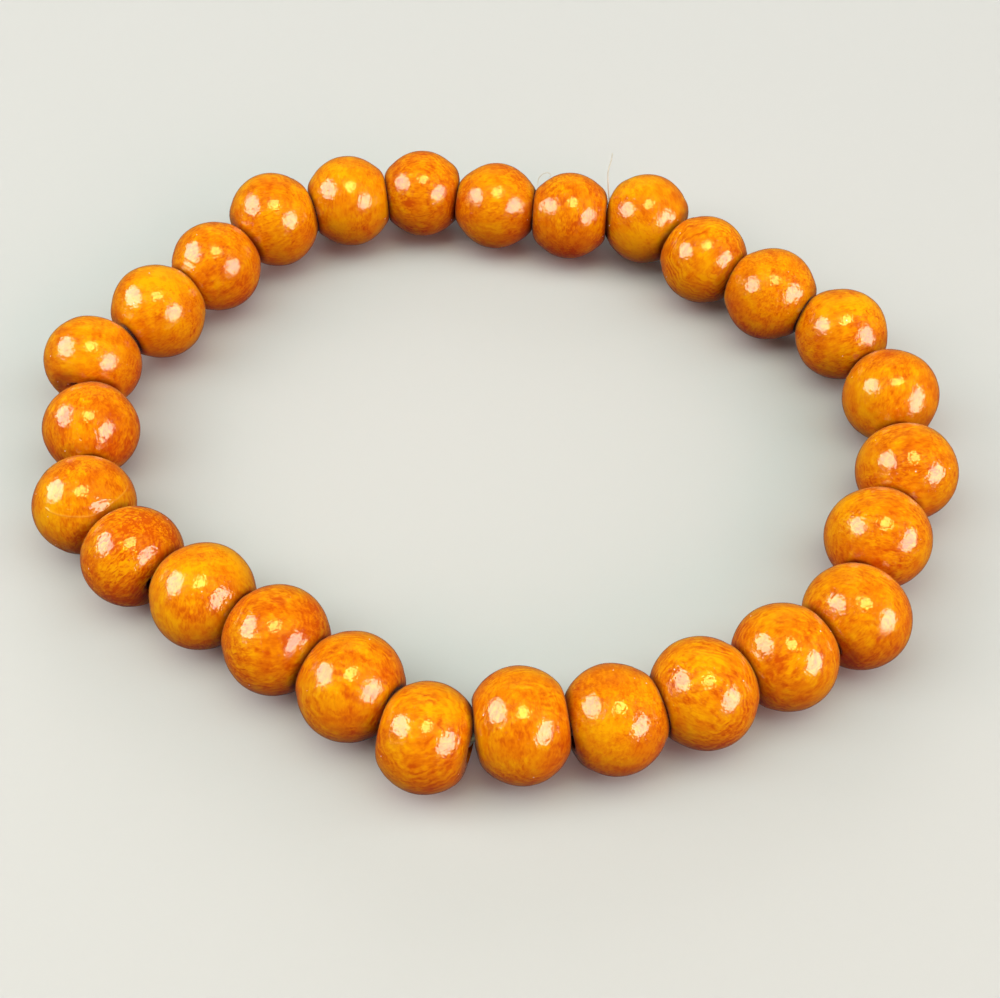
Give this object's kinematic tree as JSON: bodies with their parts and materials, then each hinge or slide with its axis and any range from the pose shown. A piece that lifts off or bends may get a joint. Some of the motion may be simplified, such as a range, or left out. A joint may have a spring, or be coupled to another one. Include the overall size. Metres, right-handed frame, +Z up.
{
  "type": "beaded stretch bracelet",
  "caption": "Stretch bracelet of small turned wooden beads in glossy orange, drilled lengthways and strung on a closed elastic thread, lying flat in an uneven oval.",
  "frame": {"origin": "centre of the laid string's box, on the surface it lies on", "axes": "+X along the long way of the oval, +Y along its short way, +Z up, square to the surface; the holes of the beads lie level"},
  "size_m": [0.0752, 0.0614, 0.0086],
  "materials": {
    "bead": "gloss",
    "thread": "satin"
  },
  "bodies": {
    "root": {"bead_01": "bead", "bead_02": "bead", "bead_03": "bead", "bead_04": "bead", "bead_05": "bead", "bead_06": "bead", "bead_07": "bead", "bead_08": "bead", "bead_09": "bead", "bead_10": "bead", "bead_11": "bead", "bead_12": "bead", "bead_13": "bead", "bead_14": "bead", "bead_15": "bead", "bead_16": "bead", "bead_17": "bead", "bead_18": "bead", "bead_19": "bead", "bead_20": "bead", "bead_21": "bead", "bead_22": "bead", "bead_23": "bead", "bead_24": "bead", "bead_25": "bead", "bead_26": "bead", "bead_27": "bead", "thread": "thread"}
  },
  "joints": []
}
